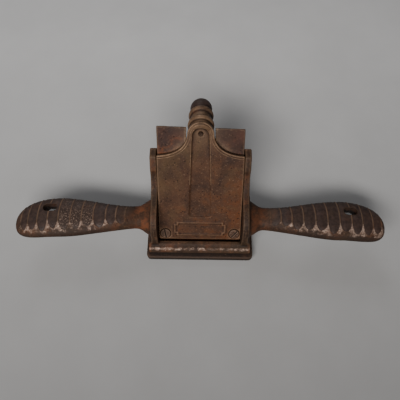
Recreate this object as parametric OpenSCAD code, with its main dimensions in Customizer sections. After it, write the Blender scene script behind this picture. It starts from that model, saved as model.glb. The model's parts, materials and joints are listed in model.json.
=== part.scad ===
// Two-handled cabinet plane with a broad cutter bedded at a steep pitch.
// Millimetres. X runs along the grips, -Y is the front where the cap faces,
// +Z is up, and the origin is the middle of the sole, on the surface it rests on.

/* [Sole plate] */
// Width of the sole plate across the tool
sole_w = 91.5; // [88:0.5:110]
// Depth of the sole plate, front to back
sole_d = 62; // [54:0.5:80]
// Thickness of the sole plate
sole_t = 7; // [5:0.5:9]
// Corner radius of the sole plate in plan
sole_corner_r = 3.5; // [2:0.5:6]
// Distance from the sole's front edge back to the cutting edge
edge_back = 12.6; // [11:0.1:16]
// Width of the mouth in front of the cutting edge, along the sole
mouth_gap = 3.4; // [2:0.1:5]

/* [Cutter] */
// Width of the cutter, 2 3/4 in
cutter_w = 69.85; // [60:0.05:84]
// Length of the cutter, 4 1/4 in
cutter_len = 107.95; // [100:0.05:130]
// Thickness of the cutter
cutter_t = 2; // [1.2:0.1:3.2]
// Pitch of the bed above the sole, degrees
bed_angle = 50; // [46:0.5:54]
// Angle of the ground bevel, degrees
bevel_angle = 30; // [25:1:35]
// How far the cutter can be drawn up the bed
cutter_travel = 12; // [4:0.5:16]
// How much longer the cutter is at its left edge, its top being cut by hand
cutter_skew = 2; // [0:0.25:3]

/* [Body casting] */
// Width of the body across the side rails
body_w = 81.6; // [78:0.1:100]
// Thickness of the bed under the cutter
bed_t = 6; // [4:0.5:8]
// Distance up the bed from the cutting edge to the top of the ears
ear_top = 85.5; // [78:0.5:90]
// Length of the raised ears along the bed
ear_len = 12; // [8:0.5:18]
// Depth of the level top of the ears, front to back
ear_depth = 8.7; // [6:0.1:10]
// Height of the side rails above the cutter's face
rail_h = 2; // [1:0.25:3]
// Height of the ears above the cutter's face
ear_h = 5; // [3:0.25:6]
// Height of the casting's foot above the sole plate
foot_h = 4.2; // [3:0.1:6]
// How far the foot stands out past the side rails
foot_flare = 3; // [1:0.25:3.2]
// Ledge of sole plate left bare in front of the casting
toe_ledge = 4.2; // [3.6:0.2:7]
// Depth of the sloping front of the foot
toe_slope = 4.6; // [3:0.2:6]
// Gap between the cap's lower edge and the lip of the casting in front of it
lip_gap = 1.6; // [1.6:0.1:3]
// Thickness of the central rib that carries the clamp boss
rib_w = 11; // [8:0.5:14]

/* [Grips] */
// Length over both grips, 12 in
span = 304; // [280:1:330]
// Height of the grips' middle above the sole
grip_z = 32; // [30:0.5:38]
// How far the necks dip below the grips
neck_drop = 7; // [0:0.5:9]
// Distance from the sole's front edge back to the grips' middle
grip_back = 26.2; // [24:0.2:32]
// How far the necks lie behind the grips' middle
neck_back = 3.7; // [0:0.1:6]
// Greatest width of a grip
grip_w = 34; // [26:0.5:38]
// Width of a neck
neck_w = 19; // [16:0.5:22]
// Thickness of a grip
grip_h = 14; // [11:0.5:18]
// How much a neck grows to the front and the back where it meets the cheek
neck_flare = 9; // [4:0.5:10]
// How much a neck grows up and down where it meets the cheek
neck_rise = 7.5; // [4:0.5:8]
// Distance from the tip to the widest place of a grip
tip_len = 35; // [30:0.5:42]
// How far the tip swings forward
tip_droop = 5; // [0:0.5:10]
// Length of a hanging slot
slot_len = 11.5; // [8:0.25:14]
// Width of a hanging slot
slot_w = 6.6; // [5:0.1:8]

/* [Cap] */
// Thickness of the cap from the cutter's face to its own
cap_h = 5; // [4:0.25:6]
// Gap between the cap's underside and the cutter
cap_relief = 0.8; // [0.5:0.1:1.2]
// Distance up the bed from the cutting edge to the cap's lower edge
cap_bottom = 10.5; // [10:0.1:14]
// Radius of the round end of the cap's tongue
tongue_r = 10.6; // [9.6:0.1:12]
// Radius of the barrel behind the tongue
barrel_r = 9; // [8.6:0.1:11]
// How far the bead at the barrel's end stands out
barrel_bead = 1.6; // [0.6:0.1:1.8]
// Depth of the sunk channel in the tongue
channel_h = 1.2; // [0.8:0.1:2.4]
// Width of the blank raised panel
panel_w = 44; // [30:1:48]
// Height of the blank raised panel
panel_h = 13; // [10:0.5:16]
// Spacing of the two pressure screws
cap_screw_pitch = 59; // [50:0.5:62]
// Head diameter of a pressure screw
cap_screw_head_d = 8.6; // [7:0.1:10]
// Shank diameter of a pressure screw
cap_screw_d = 5; // [4:0.1:6]

/* [Clamp] */
// Downward tilt of the clamp stud towards the back, degrees
stud_tilt = 14; // [8:0.5:18]
// Diameter of the clamp stud, 1/4 in
stud_d = 6.35; // [5:0.05:8]
// Distance up the bed to where the stud's axis leaves the cap's face
stud_up = 103.4; // [102:0.1:108]
// Radius of the clamp boss on the body
boss_r = 10.2; // [8:0.1:11]
// Length of the clamp boss
boss_len = 10.4; // [7:0.1:12]
// Radius of the washer
washer_r = 8.4; // [6:0.1:9.5]
// Thickness of the washer
washer_t = 1.2; // [1:0.1:2]
// Radius of the knob's ball
knob_r = 9; // [7.5:0.1:10]
// Length of the knob
knob_len = 13.8; // [13:0.1:18]

/* [Fits] */
// Gap at faces that slide on one another
slide_gap = 0.05; // [0.02:0.01:0.1]
// Gap each side of the cutter and the cap between the rails
side_gap = 0.4; // [0.3:0.05:0.6]
// Radial clearance of the stud in the boss, the washer and the knob
stud_gap = 0.1; // [0.05:0.01:0.1]
// Radial clearance of a pressure screw in the cap
screw_gap = 0.06; // [0.02:0.01:0.1]
// Diameter of a sole screw's shank
sole_screw_d = 3.5; // [3:0.1:4]
// Diameter of a sole screw's head
sole_screw_head_d = 6.6; // [6:0.1:7]
// How far a sole screw reaches into the casting
sole_screw_grip = 4.6; // [3:0.1:6]

/* [Hidden] */
$fn = 64;

iron = [0.36, 0.24, 0.18];
cap_iron = [0.42, 0.30, 0.21];
dark_iron = [0.27, 0.19, 0.16];
steel = [0.40, 0.31, 0.26];

front_y = -sole_d / 2;
edge_y = front_y + edge_back;
toe_y = front_y + toe_ledge;
heel_y = sole_d / 2 - 2;
foot_top = sole_t + foot_h;
foot_w = body_w + 2 * foot_flare;
throat_w = cutter_w + 2 * side_gap;
cap_w = throat_w - 0.5;
edge_lift = 0.4;
back_face = -cutter_t - slide_gap;
slab_back = back_face - bed_t;
stud_drop = bed_angle + stud_tilt;
far = 200;

// Stations along the stud's axis, from where it leaves the cap's face
ring_len = 4.8;
barrel_end = 13.4;
boss_start = barrel_end + 1.2;
boss_end = boss_start + boss_len;
knob_start = boss_end + washer_t;
knob_end = knob_start + knob_len;
stud_end = knob_end - 4;
rivet_d = 3.6;
rivet_start = channel_h / sin(stud_drop) - 0.5;
rivet_end = rivet_start + 3.4;

// How far up into the sole plate a screw's head stays full width
screw_sink = 0.5;
pressure_up = cap_bottom + 5.6;
plate_shoulder = ear_top + 1.2;
channel_low = cap_bottom + 22;
slot_x = span / 2 - tip_len + 7.2;
slot_y = front_y + grip_back + 6.4;
notch_r = tongue_r + 0.9;
barrel_foot = stud_up + (cap_h + cutter_t / 2) / tan(stud_drop) - tongue_r / sin(stud_drop);
notch_low = barrel_foot - 1 - cutter_travel;

// Cheeks: the side walls rise round the roots of the necks
cheek_front = max(toe_y + toe_slope + 1,
    grip_y(body_w / 2) - neck_w / 2 - neck_flare - 0.8);
cheek_top = grip_mid_z(body_w / 2) + grip_h / 2 + neck_rise + 2;

// A point of the bed's side view, t up the bed and h out of the cutter's face
function on_slope(t, h) = [
    edge_y + t * cos(bed_angle) - h * sin(bed_angle),
    t * sin(bed_angle) + h * cos(bed_angle)];

// A point of the bed's side view, s along the stud and r above its axis
function on_stud(s, r) = [
    stud_up + s * cos(stud_drop) + r * sin(stud_drop),
    cap_h - s * sin(stud_drop) + r * cos(stud_drop)];

// Points of an arc about c, from angle a0 to angle a1
function arc(c, r, a0, a1, n = 8) = [for (i = [0:n])
    c + r * [cos(a0 + (a1 - a0) * i / n), sin(a0 + (a1 - a0) * i / n)]];

// Points of a curve from a to b that leans towards m
function bend(a, m, b, n = 8) = [for (i = [0:n])
    pow(1 - i / n, 2) * a + 2 * (i / n) * (1 - i / n) * m + pow(i / n, 2) * b];

// Outline of a rectangle with round corners
function round_rect(w, d, r) = concat(
    arc([w / 2 - r, d / 2 - r], r, 0, 90),
    arc([-w / 2 + r, d / 2 - r], r, 90, 180),
    arc([-w / 2 + r, -d / 2 + r], r, 180, 270),
    arc([w / 2 - r, -d / 2 + r], r, 270, 360));

function smooth(u) = let (v = max(0, min(1, u))) v * v * (3 - 2 * v);

// Puts its children on the bed: X across, Y up the slope, Z out of the cutter's face
module on_bed() {
    translate([0, edge_y, 0]) rotate([bed_angle, 0, 0]) children();
}

// Puts its children on the stud's axis, with +Z pointing back along it
module on_stud_axis(s = 0) {
    on_bed() translate([0, stud_up, cap_h]) rotate([-90 - stud_drop, 0, 0])
        translate([0, 0, s]) children();
}

// A turned ring of radius r and length h whose edges round off by drop
module bead(r, h, drop) {
    rotate_extrude() polygon(concat([[0, 0]],
        [for (i = [0:10]) let (a = -80 + 16 * i)
            [r - drop + drop * cos(a), h / 2 + h / 2 * sin(a) / sin(80)]], [[0, h]]));
}

// A side view outline, given as Y and Z, drawn across the width w
module across(outline, w) {
    translate([-w / 2, 0, 0]) rotate([90, 0, 90])
        linear_extrude(height = w) polygon(outline);
}

// ---------------------------------------------------------------- body casting

// Side view of the casting: foot, rail, ear and the hollow back edge
module side_profile() {
    ear_start = ear_top - ear_len;
    cheek_end = cheek_top / sin(bed_angle) + 8;
    ear_foot = max(ear_start - 10, cheek_end + 0.5);
    ear_front = on_slope(ear_top, ear_h);
    outline = concat(
        [[heel_y, sole_t], [toe_y, sole_t]],
        bend([toe_y, sole_t + 0.6], [toe_y + 1.2, foot_top - 0.4], [toe_y + toe_slope, foot_top]),
        bend([toe_y + toe_slope + 0.4, foot_top], [cheek_front, foot_top],
            [cheek_front, foot_top + 4], 4),
        bend([cheek_front, foot_top + 5], [cheek_front, cheek_top],
            [grip_y(body_w / 2) + 1, cheek_top]),
        bend([grip_y(body_w / 2) + 2, cheek_top], on_slope(cheek_end - 9, rail_h),
            on_slope(cheek_end, rail_h)),
        bend(on_slope(ear_foot, rail_h), on_slope(0.3 * ear_foot + 0.7 * ear_start, rail_h),
            on_slope(ear_start, ear_h - 0.4), 6),
        [on_slope(ear_start + 3, ear_h), ear_front, ear_front + [ear_depth, 0]],
        [on_slope(ear_top + 1, slab_back)],
        bend(on_slope(ear_top - 10, slab_back - 2), on_slope(26, slab_back - 6),
            [heel_y, foot_top + 1.5]));
    across(outline, foot_w);
}

// Front view of the casting: a foot that sweeps in to the side rails
module front_profile() {
    half = body_w / 2;
    sweep = 13;
    side = concat([[foot_w / 2, 0], [foot_w / 2, foot_top]],
        bend([foot_w / 2, foot_top + 0.5], [half, foot_top + 2],
            [half, foot_top + sweep]), [[half, far]]);
    mirrored = [for (i = [len(side) - 1:-1:0]) [-side[i][0], side[i][1]]];
    translate([0, far, 0]) rotate([90, 0, 0])
        linear_extrude(height = 2 * far) polygon(concat(side, mirrored));
}

// The way down the front of the bed for the cutter, out through the mouth
module throat() {
    lip_y = edge_y - mouth_gap;
    lip_top = on_slope(cap_bottom, cap_h)[0] - lip_gap;
    rise = (lip_top - lip_y) / foot_top;
    outline = [[lip_y - rise, -1], [lip_top, foot_top], [lip_top, foot_top + 1],
        [front_y - far, foot_top + 1], [front_y - far, far],
        on_slope(far, back_face), on_slope(-3, back_face)];
    across(outline, throat_w);
}

// The hollow behind the bed, one on each side of the central rib
module back_hollow() {
    wall = (body_w - throat_w) / 2 + 1;
    floor_z = foot_top + 1.5;
    low = (floor_z - slab_back * cos(bed_angle)) / sin(bed_angle);
    outline = [on_slope(low, slab_back), on_slope(far, slab_back), [far, far], [far, floor_z]];
    for (side = [0, 1]) mirror([side, 0, 0])
        translate([rib_w / 2 + (body_w / 2 - wall - rib_w / 2) / 2, 0, 0])
            across(outline, body_w / 2 - wall - rib_w / 2);
}

// The rib that runs up behind the bed and carries the clamp boss
module boss_post() {
    front = on_stud(boss_start + 2, -boss_r + 2.4);
    under = on_stud(boss_end - 2, -boss_r + 2.4);
    outline = concat(
        [[ear_top - 34, slab_back + 3], [ear_top, slab_back + 3]],
        [[ear_top + 1, slab_back + 3], front - [4, 2.2], front, under],
        bend(under - [1, 1], [ear_top - 4, slab_back - 15],
            [ear_top - 48, slab_back - 4]));
    on_bed() translate([-rib_w / 2, 0, 0]) rotate([90, 0, 90])
        linear_extrude(height = rib_w) polygon(outline);
}

// Shape of a grip at x: how far along the rounded end and the neck it is, then its
// half width, half thickness, and the height and place of its middle
function tip_part(x) = max(0, (x - span / 2 + tip_len) / tip_len);
function neck_part(x) = 1 - smooth((x - body_w / 2) / 35);
function end_round(x) = pow(max(0, 1 - pow(tip_part(x), 2.9)), 1 / 2.9);
function root_flare(x) = pow(max(0, min(1, 1 - (x - body_w / 2 + 0.3) / 15)), 2.4);
function grip_half_w(x) = end_round(x) * (neck_w / 2 + neck_flare * root_flare(x)
    + (grip_w - neck_w) / 2 * smooth((x - 50) / (span / 2 - tip_len - 50)));
function grip_half_h(x) = sqrt(end_round(x)) * (grip_h / 2 + neck_rise * root_flare(x));
function grip_y(x) = front_y + grip_back + neck_back * neck_part(x)
    - tip_droop * pow(tip_part(x), 1.6);
function grip_mid_z(x) = grip_z - neck_drop * neck_part(x) - 2 * pow(tip_part(x), 2);

// One grip, lofted through rounded sections from inside the cheek to the tip
module grip() {
    around = 28;
    start = body_w / 2 - 3;
    steps = 30;
    end = span / 2;
    stations = [for (i = [0:steps]) start + (end - start) * sin(90 * i / steps)];
    power = 0.84;
    rings = [for (i = [0:steps - 1]) let (x = stations[i])
        [for (k = [0:around - 1]) let (a = 360 * k / around)
            [x, grip_y(x) + grip_half_w(x) * sign(cos(a)) * pow(abs(cos(a)), power),
            grip_mid_z(x) + grip_half_h(x) * sign(sin(a)) * pow(abs(sin(a)), power)]]];
    tip = [end, grip_y(end), grip_mid_z(end)];
    points = concat([for (r = rings) each r], [tip]);
    last = (steps - 1) * around;
    sides = [for (i = [0:steps - 2], k = [0:around - 1]) let (n = (k + 1) % around)
        each [[i * around + n, i * around + k, (i + 1) * around + k],
        [(i + 1) * around + n, i * around + n, (i + 1) * around + k]]];
    nose = [for (k = [0:around - 1]) [last + (k + 1) % around, last + k, len(points) - 1]];
    root = [[for (k = [0:around - 1]) k]];
    polyhedron(points, concat(root, sides, nose), convexity = 4);
}

// Hanging slot through a grip
module grip_slot() {
    reach = (slot_len - slot_w) / 2;
    translate([slot_x, slot_y, grip_z - 20]) {
        for (end = [-reach, reach]) translate([end, 0, 0])
            cylinder(d = slot_w, h = 40);
        translate([-reach, -slot_w / 2, 0]) cube([2 * reach, slot_w, 40]);
    }
}

module body_casting() {
    color(iron) difference() {
        union() {
            difference() {
                intersection() {
                    side_profile();
                    front_profile();
                }
                throat();
                back_hollow();
            }
            boss_post();
            on_stud_axis(boss_start) cylinder(r = boss_r - 1.8, h = boss_len - ring_len / 2);
            on_stud_axis(boss_end - ring_len) bead(boss_r, ring_len, 2);
            for (side = [0, 1]) mirror([side, 0, 0]) grip();
        }
        on_stud_axis(boss_start - 1) cylinder(d = stud_d + 2 * stud_gap, h = boss_len + 2);
        for (side = [0, 1]) mirror([side, 0, 0]) grip_slot();
        sole_screw_places() translate([0, 0, sole_t - 1])
            cylinder(d = sole_screw_d, h = sole_screw_grip + 1);
    }
}

// ------------------------------------------------------------------ sole plate

// The four places of the sole screws
module sole_screw_places() {
    front_x = (throat_w + foot_w) / 4;
    for (side = [-1, 1]) {
        translate([side * front_x, edge_y + 2, 0]) children();
        translate([side * (front_x - 4), heel_y - 8, 0]) children();
    }
}

// Turned shape of a countersunk screw: its head's face, its cone and its shank
module screw_shape(face, end) {
    head_h = (sole_screw_head_d - sole_screw_d) / 2;
    rotate_extrude() polygon([[0, face], [sole_screw_head_d / 2, face],
        [sole_screw_head_d / 2, screw_sink], [sole_screw_d / 2, screw_sink + head_h],
        [sole_screw_d / 2, end], [0, end]]);
}

module sole_plate() {
    color(dark_iron) difference() {
        linear_extrude(height = sole_t) polygon(round_rect(sole_w, sole_d, sole_corner_r));
        throat();
        sole_screw_places() screw_shape(-1, sole_t + 1);
    }
}

module sole_screws() {
    slot_w = 0.8;
    slot_depth = 0.9;
    color(steel) sole_screw_places() difference() {
        screw_shape(screw_sink - 0.2, sole_t + sole_screw_grip - 0.4);
        rotate([0, 0, 35]) translate([-sole_screw_head_d, -slot_w / 2, -1])
            cube([2 * sole_screw_head_d, slot_w, 1 + screw_sink + slot_depth - 0.2]);
    }
}

// ---------------------------------------------------------------------- cutter

module cutter() {
    bevel_len = cutter_t / tan(bevel_angle);
    over = cutter_len + cutter_skew;
    color(steel) on_bed() difference() {
        translate([-cutter_w / 2, 0, 0]) rotate([90, 0, 90])
            linear_extrude(height = cutter_w) polygon([[edge_lift, 0],
                [edge_lift + bevel_len, -cutter_t], [over, -cutter_t], [over, 0]]);
        translate([0, cutter_len, -cutter_t - 1]) linear_extrude(height = cutter_t + 2)
            polygon([[-cutter_w / 2 - 1, cutter_skew / 2], [cutter_w / 2 + 1, -cutter_skew / 2],
                [cutter_w / 2 + 1, 2 * cutter_skew + 1], [-cutter_w / 2 - 1, 2 * cutter_skew + 1]]);
        translate([0, 0, -cutter_t - 1]) {
            translate([0, notch_low + notch_r, 0]) cylinder(r = notch_r, h = cutter_t + 2);
            translate([-notch_r, notch_low + notch_r, 0])
                cube([2 * notch_r, cutter_len, cutter_t + 2]);
        }
    }
}

// ------------------------------------------------------------------- cap plate

// Outline of the cap in the bed's plane, a plate that sweeps in to a round tongue
function cap_outline() =
    let (half = cap_w / 2,
        side = concat(
            arc([half - 1.5, cap_bottom + 1.5], 1.5, -90, 0, 4),
            [[half, plate_shoulder - 1]],
            bend([half - 1, plate_shoulder], [tongue_r + 2.4, plate_shoulder + 1.5],
                [tongue_r, stud_up - 0.5], 14),
            arc([0, stud_up], tongue_r, 0, 90, 12)))
    concat(side, [for (i = [len(side) - 2:-1:0]) [-side[i][0], side[i][1]]]);

// Channel sunk in the tongue, narrow and round at the top, wider below
function channel_outline() =
    let (top_r = tongue_r - 3.8, low = top_r + 2.4)
    concat(arc([0, stud_up - 1], top_r, 0, 180, 16),
        [[-low, channel_low + 1.5], [-low + 1.5, channel_low], [low - 1.5, channel_low],
        [low, channel_low + 1.5]]);

module pressure_screw_places(side) {
    on_bed() translate([side * cap_screw_pitch / 2, pressure_up, 0]) children();
}

// Outline of a rectangle with square notches out of its corners
module notched(w, h, notch) {
    square([w, h - 2 * notch], center = true);
    square([w - 2 * notch, h], center = true);
}

// Blank panel, a raised border with notched corners
module blank_panel() {
    border = 1.2;
    notch = 2.2;
    linear_extrude(height = 0.7) difference() {
        notched(panel_w, panel_h, notch);
        notched(panel_w - 2 * border, panel_h - 2 * border, notch);
    }
}

module cap_plate() {
    color(cap_iron) difference() {
        union() {
            on_bed() translate([0, 0, cap_relief])
                linear_extrude(height = cap_h - cap_relief) polygon(cap_outline());
            on_stud_axis(1.5) cylinder(r = barrel_r, h = barrel_end - 3);
            on_stud_axis(barrel_end - ring_len) bead(barrel_r + barrel_bead, ring_len, 2);
            on_bed() translate([0, cap_bottom + 10.4, cap_h - 0.1]) blank_panel();
            cap_pads();
        }
        on_bed() translate([0, 0, cap_h - channel_h])
            linear_extrude(height = channel_h + 1) polygon(channel_outline());
        on_stud_axis(rivet_end) cylinder(d = stud_d, h = barrel_end);
        on_stud_axis(-2) cylinder(d = rivet_d, h = rivet_end + 2.1);
        for (side = [-1, 1]) pressure_screw_places(side) {
            translate([0, 0, -1]) cylinder(d = cap_screw_d, h = cap_h + 2);
            translate([0, 0, cap_h - 1.2]) cylinder(d = cap_screw_head_d + 1, h = 3);
        }
    }
}

// Two pads beside the notch that bear on the cutter
module cap_pads() {
    pad_w = 7;
    for (side = [-1, 1]) on_bed()
        translate([side * (notch_r + 1 + pad_w / 2) - pad_w / 2, plate_shoulder - 10, slide_gap])
            cube([pad_w, 7, cap_relief + 0.5]);
}

// Slotted screw threaded through the cap, its tip on the cutter
module pressure_screw(side, slot_turn) {
    head_h = 2;
    seat = cap_h - 1.2;
    color(steel) pressure_screw_places(side) difference() {
        union() {
            translate([0, 0, slide_gap])
                cylinder(d = cap_screw_d - 2 * screw_gap, h = seat);
            translate([0, 0, seat]) cylinder(d = cap_screw_head_d, h = head_h - 0.5);
            translate([0, 0, seat + head_h - 0.5])
                cylinder(d1 = cap_screw_head_d, d2 = cap_screw_head_d - 1.4, h = 0.5);
        }
        rotate([0, 0, slot_turn]) translate([-cap_screw_head_d, -0.55, seat + head_h - 1])
            cube([2 * cap_screw_head_d, 1.1, 2]);
    }
}

module left_pressure_screw() {
    pressure_screw(-1, 100);
}

module right_pressure_screw() {
    pressure_screw(1, 50);
}

// ----------------------------------------------------------------------- clamp

module clamp_stud() {
    color(steel) {
        on_stud_axis(rivet_end) cylinder(d = stud_d, h = stud_end - rivet_end);
        on_stud_axis(rivet_start) cylinder(d = rivet_d, h = rivet_end - rivet_start + 0.01);
    }
}

module clamp_washer() {
    color(steel) on_stud_axis(boss_end) difference() {
        cylinder(r = washer_r, h = washer_t);
        translate([0, 0, -1]) cylinder(d = stud_d + 2 * stud_gap, h = washer_t + 2);
    }
}

// Turned knob: a short collar on the washer and a ball cut off by it
module clamp_knob() {
    collar_h = 0.8;
    ball_up = knob_len - knob_r;
    low = -asin(min(0.9, (ball_up - collar_h) / knob_r));
    collar_r = knob_r * cos(low);
    profile = concat([[0, 0], [collar_r, 0], [collar_r, ball_up + knob_r * sin(low)]],
        [for (i = [1:14]) let (a = low + (90 - low) * i / 14)
            [knob_r * cos(a), ball_up + knob_r * sin(a)]]);
    color(dark_iron) on_stud_axis(knob_start) difference() {
        rotate_extrude() polygon(profile);
        translate([0, 0, -1]) cylinder(d = stud_d + 2 * stud_gap, h = stud_end - knob_start + 2);
    }
}

body_casting();
sole_plate();
sole_screws();
cutter();
cap_plate();
left_pressure_screw();
right_pressure_screw();
clamp_stud();
clamp_washer();
clamp_knob();
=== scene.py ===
# %% [markdown]
# # A rusty two-handled cabinet plane
#
# The plane is an iron casting with two wing grips, a broad cutter lying on a
# steep bed, a clamp cap over it and a turned knob behind. The design arrives
# as a fixed frame of plain solids. This notebook gives each of them the skin
# of old cast iron: softened edges, foundry texture, a worn ornament on the
# grips, and several layers of rust and handling polish.

# %% Load the fixed frame
import json
import math
import bmesh
import bpy
import numpy as np
from mathutils import Matrix, Vector, noise


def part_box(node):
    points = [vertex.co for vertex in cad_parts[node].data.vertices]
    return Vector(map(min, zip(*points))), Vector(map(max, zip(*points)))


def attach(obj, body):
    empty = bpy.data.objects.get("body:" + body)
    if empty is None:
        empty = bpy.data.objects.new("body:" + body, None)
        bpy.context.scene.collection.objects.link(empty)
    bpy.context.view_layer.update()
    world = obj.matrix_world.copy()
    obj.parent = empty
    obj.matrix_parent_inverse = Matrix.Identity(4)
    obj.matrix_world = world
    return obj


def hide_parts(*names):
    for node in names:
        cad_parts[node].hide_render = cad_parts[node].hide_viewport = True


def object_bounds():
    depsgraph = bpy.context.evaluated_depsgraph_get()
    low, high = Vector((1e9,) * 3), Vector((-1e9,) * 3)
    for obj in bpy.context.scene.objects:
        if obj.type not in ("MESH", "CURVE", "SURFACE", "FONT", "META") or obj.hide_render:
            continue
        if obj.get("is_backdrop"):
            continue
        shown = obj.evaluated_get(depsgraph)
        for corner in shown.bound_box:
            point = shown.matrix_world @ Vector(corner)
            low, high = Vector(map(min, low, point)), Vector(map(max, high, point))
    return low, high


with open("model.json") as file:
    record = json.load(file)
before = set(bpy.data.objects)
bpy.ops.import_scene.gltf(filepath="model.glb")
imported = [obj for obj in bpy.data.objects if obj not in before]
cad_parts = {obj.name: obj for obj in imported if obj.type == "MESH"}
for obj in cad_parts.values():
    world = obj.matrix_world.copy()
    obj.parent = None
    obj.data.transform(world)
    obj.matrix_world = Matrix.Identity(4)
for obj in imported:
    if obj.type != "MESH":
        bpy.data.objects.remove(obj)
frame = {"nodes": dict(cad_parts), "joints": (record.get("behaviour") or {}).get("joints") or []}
cad_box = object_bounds()
MM = 0.001
joints = {j["name"]: j for j in frame["joints"]}
print("nodes", sorted(frame["nodes"]))

# %% [markdown]
# The tool stands on its sole, and most of its surfaces lie along the bed that
# the cutter rests on. So it helps to have the bed's own directions: across,
# up the slope, and out of the cutter's face. They come from the joint that
# the cutter slides on, and the bed's zero is the cutting edge.

# %% Directions of the bed
ACROSS = Vector((1, 0, 0))
SLOPE = Vector(joints["cutter_slide"]["axis"]).normalized()
OUTWARD = ACROSS.cross(SLOPE)
EDGE_LIFT = 0.4
cutter_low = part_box("cutter")[0]
edge_zero = Vector((0, cutter_low.y, cutter_low.z)) - SLOPE * EDGE_LIFT * MM


def on_bed(x, up, out):
    """A point given in millimetres across, up and out of the bed."""
    return edge_zero + MM * (ACROSS * x + SLOPE * up + OUTWARD * out)


def bed_places(points):
    """Millimetres across, up and out of the bed for whole arrays."""
    offset = (points - np.array(edge_zero)) / MM
    return offset @ np.array([ACROSS, SLOPE, OUTWARD]).T


print("bed zero", [round(v / MM, 2) for v in edge_zero])

# %% [markdown]
# ## Camera, floor and light
#
# The tool is looked at from high up in front, with a normal lens. The floor
# is plain and pale. One wide soft lamp stands in front, a little to the left,
# as a window would, so shadows narrow as they leave the tool. A pale sky fills
# them.

# %% Camera
cam_data = bpy.data.cameras.new("studio_camera")
cam_data.lens = 36.0
cam_data.sensor_width = 36.0
camera = bpy.data.objects.new("studio_camera", cam_data)
bpy.context.scene.collection.objects.link(camera)
CAM_TURN = math.radians(0.81)
CAM_DOWN = 65.58
CAM_AWAY, CAM_HEIGHT = 0.12814, 0.34188
camera.location = Matrix.Rotation(CAM_TURN, 4, "Z") @ Vector((0.0, -CAM_AWAY, CAM_HEIGHT))
camera.rotation_euler = (math.radians(90 - CAM_DOWN), 0, CAM_TURN)
bpy.context.scene.camera = camera
print("camera at", [round(v, 3) for v in camera.location], "looks down", CAM_DOWN)

# %% [markdown]
# A node tree can be drawn by hand, but a few short helpers make it read like a
# recipe: one adds a node and links it, the others stand for the nodes that
# return again and again, such as a noise, a range and a sum.

# %% Helpers for node trees


def add(tree, kind, inputs=None, **settings):
    """Adds a node, sets its properties, and fills or links its inputs."""
    made = tree.nodes.new(kind)
    for key, value in settings.items():
        setattr(made, key, value)
    for key, value in (inputs or {}).items():
        if isinstance(value, bpy.types.NodeSocket):
            tree.links.new(value, made.inputs[key])
        else:
            made.inputs[key].default_value = value
    return made


def grain(tree, place, size_mm, detail=3.0, rough=0.55, bend=0.0):
    """A noise whose blotches are about size_mm across."""
    return add(tree, "ShaderNodeTexNoise", {
        "Vector": place, "Scale": 1 / (size_mm * MM), "Detail": detail,
        "Roughness": rough, "Distortion": bend}).outputs["Fac"]


def ramp(tree, value, low, high, bottom=0.0, top=1.0):
    """Maps low..high to bottom..top and holds the ends."""
    return add(tree, "ShaderNodeMapRange", {
        "Value": value, "From Min": low, "From Max": high,
        "To Min": bottom, "To Max": top}).outputs["Result"]


def sums(tree, how, a, b):
    return add(tree, "ShaderNodeMath", {0: a, 1: b}, operation=how).outputs[0]


def blend_colour(tree, share, a, b, how="MIX"):
    """Mixes two colours; each is a socket or an RGB triple."""
    made = add(tree, "ShaderNodeMix", data_type="RGBA", blend_type=how)
    for socket, value in ((0, share), (6, a), (7, b)):
        if isinstance(value, bpy.types.NodeSocket):
            tree.links.new(value, made.inputs[socket])
        elif socket == 0:
            made.inputs[socket].default_value = value
        else:
            made.inputs[socket].default_value = (*value, 1)
    return made.outputs[2]


def new_material(name):
    made = bpy.data.materials.new(name)
    made.use_nodes = True
    return made, made.node_tree, made.node_tree.nodes["Principled BSDF"]


print("materials so far", len(bpy.data.materials))

# %% [markdown]
# The floor's colour is painted darker towards the front, a painted shade like
# the light's fall-off on a table under a window, and a faint blotch keeps it
# from looking like paper.

# %% Floor
FLOOR_SIZE = 10
FLOOR_FRONT, FLOOR_BACK = -0.16, 0.22
bpy.ops.mesh.primitive_plane_add(size=FLOOR_SIZE)
floor = bpy.context.object
floor.name = "floor"
floor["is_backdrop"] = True
floor_mat, floor_tree, floor_shader = new_material("pale floor")
floor_place = add(floor_tree, "ShaderNodeTexCoord").outputs["Object"]
floor_blots = ramp(floor_tree, grain(floor_tree, floor_place, 60, 4), 0.3, 0.7, 0.96, 1.04)
floor_y = add(floor_tree, "ShaderNodeSeparateXYZ", {0: floor_place}).outputs["Y"]
# Painted shade: the floor's colour darkens from back to front.
painted_floor_shade = ramp(floor_tree, floor_y, FLOOR_FRONT, FLOOR_BACK, 0.16, 0.44)
floor_tone_and_painted_shade = sums(floor_tree, "MULTIPLY", painted_floor_shade, floor_blots)
floor_blue = sums(floor_tree, "MULTIPLY", floor_tone_and_painted_shade, 1.01)
floor_colour = add(floor_tree, "ShaderNodeCombineColor", {0: floor_tone_and_painted_shade, 1: floor_tone_and_painted_shade, 2: floor_blue})
floor_tree.links.new(floor_colour.outputs[0], floor_shader.inputs["Base Color"])
floor_shader.inputs["Roughness"].default_value = 0.9
floor.data.materials.append(floor_mat)
print("floor", FLOOR_SIZE, "m")

# %% Sky and lamps
world = bpy.data.worlds.new("studio")
world.use_nodes = True
sky = world.node_tree.nodes["Background"]
sky.inputs["Color"].default_value = (1.0, 0.97, 0.95, 1)
sky.inputs["Strength"].default_value = 0.20
bpy.context.scene.world = world


def area_light(name, place, size, watts, tint=(1, 1, 1)):
    data = bpy.data.lights.new(name, "AREA")
    data.shape = "RECTANGLE"
    data.size, data.size_y = size
    data.energy = watts
    data.color = tint
    lamp = bpy.data.objects.new(name, data)
    lamp.location = place
    lamp.rotation_euler = (-Vector(place)).to_track_quat("-Z", "Y").to_euler()
    bpy.context.scene.collection.objects.link(lamp)
    return lamp


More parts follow.
